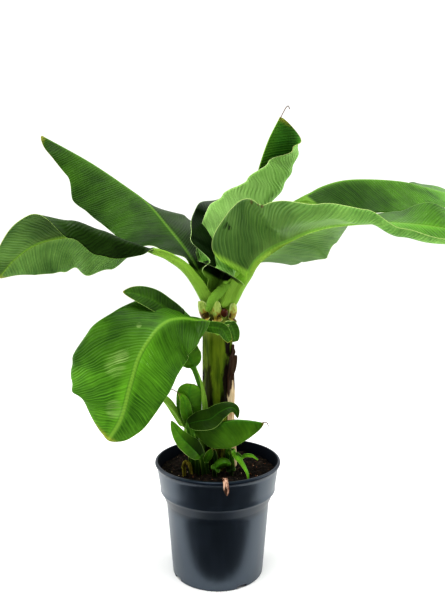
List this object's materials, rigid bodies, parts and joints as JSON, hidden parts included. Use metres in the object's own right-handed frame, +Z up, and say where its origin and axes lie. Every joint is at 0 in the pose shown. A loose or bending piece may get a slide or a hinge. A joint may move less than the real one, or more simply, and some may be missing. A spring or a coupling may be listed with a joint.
{
  "type": "potted banana plant",
  "caption": "Young banana plant with broad arching leaves on a sheathed stem, small suckers at its foot, in a plain round plastic nursery pot.",
  "frame": {"origin": "middle of the pot's flat underside", "axes": "+Z up the stem; +X to the plant's right and -Y to its front, as the picture shows it"},
  "size_m": [0.8745, 0.3991, 0.7698],
  "materials": {
    "pot": "satin",
    "soil": "matte",
    "stem": "satin",
    "leaf": "satin",
    "young": "satin",
    "dry": "matte"
  },
  "bodies": {
    "root": {"dry_curl": "dry", "dry_flap": "dry", "dry_scrap": "dry", "dry_sheath": "dry", "leaf_back_left": "leaf", "leaf_back_right": "leaf", "leaf_centre": "young", "leaf_left": "leaf", "leaf_low": "leaf", "leaf_right_front": "leaf", "pot": "pot", "pseudostem": "stem", "sheath_stub_front": "stem", "sheath_stub_left": "stem", "sheath_stub_right": "stem", "soil": "soil", "sucker_bud": "leaf", "sucker_leaf_broad": "leaf", "sucker_leaf_curled": "leaf", "sucker_leaf_dark": "leaf", "sucker_leaf_outer": "leaf", "sucker_leaf_small": "leaf", "sucker_leaf_upright": "leaf", "sucker_left": "leaf", "sucker_right": "leaf", "sucker_stub": "leaf", "sucker_tall": "leaf"}
  },
  "joints": []
}
